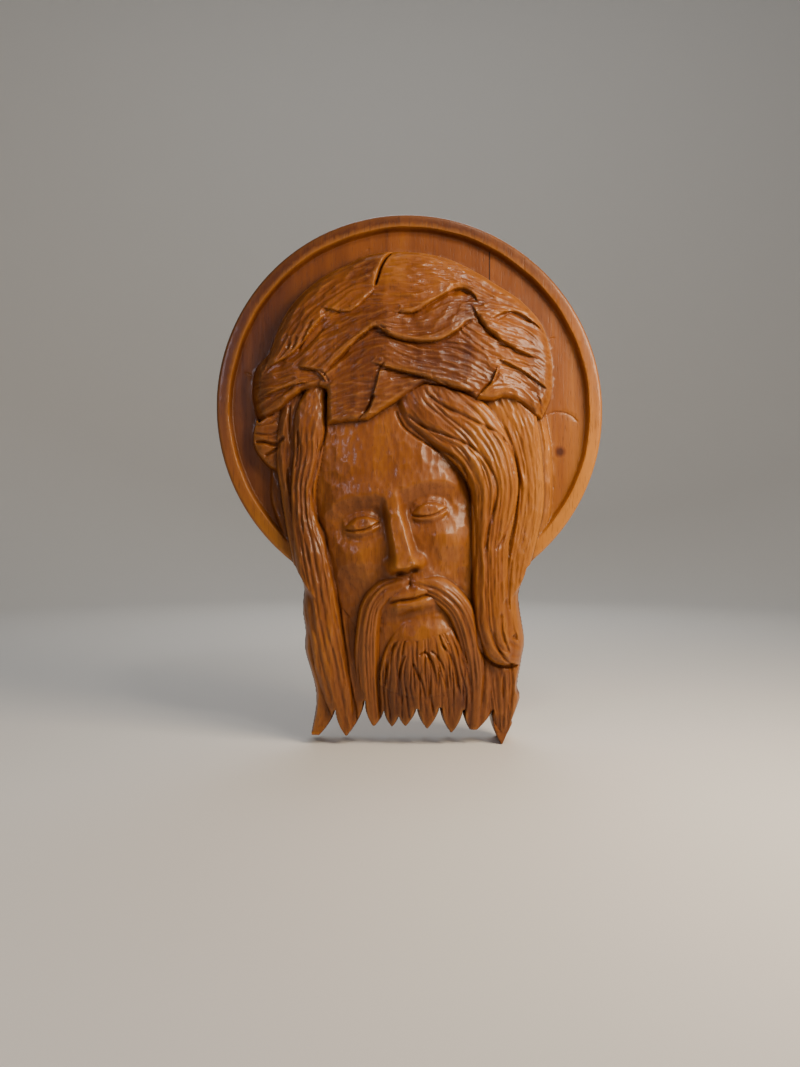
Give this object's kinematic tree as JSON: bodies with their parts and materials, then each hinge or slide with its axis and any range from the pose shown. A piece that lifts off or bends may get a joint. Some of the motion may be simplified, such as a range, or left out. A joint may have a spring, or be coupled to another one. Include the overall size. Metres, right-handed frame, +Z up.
{
  "type": "carved wall plaque",
  "caption": "Wooden wall plaque: a bearded head carved in relief, crowned with woven thorny twigs, on a round dished halo, with the long hair and beard cut to points below it.",
  "frame": {"origin": "middle of the halo's flat back face, where the plaque rests on the wall (mount wall_back)", "axes": "+X to the right as seen from the front, +Z up along the height of the plaque, +Y into the wall, so the carved front faces -Y"},
  "size_m": [0.289, 0.0581, 0.3956],
  "materials": {
    "carved_wood": "brown stain rubbed into the cuts, under satin varnish"
  },
  "bodies": {
    "root": {"carved_plaque": "carved_wood"}
  },
  "joints": []
}
